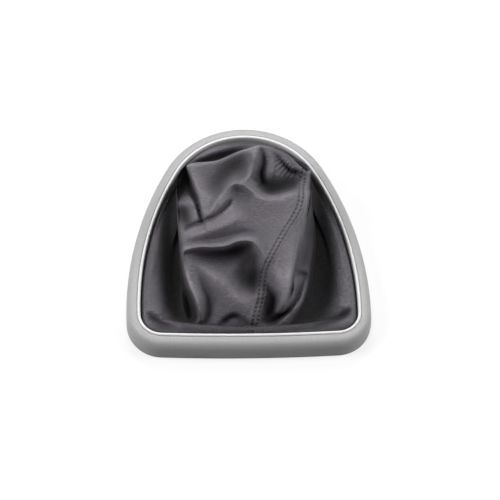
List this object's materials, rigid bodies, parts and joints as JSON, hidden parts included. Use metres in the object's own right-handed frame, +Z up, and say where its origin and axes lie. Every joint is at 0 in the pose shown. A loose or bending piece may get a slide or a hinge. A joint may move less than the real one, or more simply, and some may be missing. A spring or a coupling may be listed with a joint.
{
  "type": "gear lever gaiter",
  "caption": "Folded black leather boot with double-stitched front seam and gathered hem, held in a moulded satin silver surround frame with a rounded inner lip.",
  "frame": {"origin": "centre of the frame's foot, on the surface that it stands on", "axes": "+Z up, +Y from the straight near edge to the rounded far end, +X to the right"},
  "size_m": [0.1538, 0.1646, 0.0577],
  "materials": {
    "frame_paint": "satin silver paint on moulded plastic",
    "retainer_plastic": "plain matt black moulding",
    "boot_leather": "fine-grained black leather with a soft sheen"
  },
  "bodies": {
    "root": {"surround_frame": "frame_paint", "leather_retainer_ring": "retainer_plastic", "leather_panel_right": "boot_leather", "leather_panel_left": "boot_leather"}
  },
  "joints": []
}
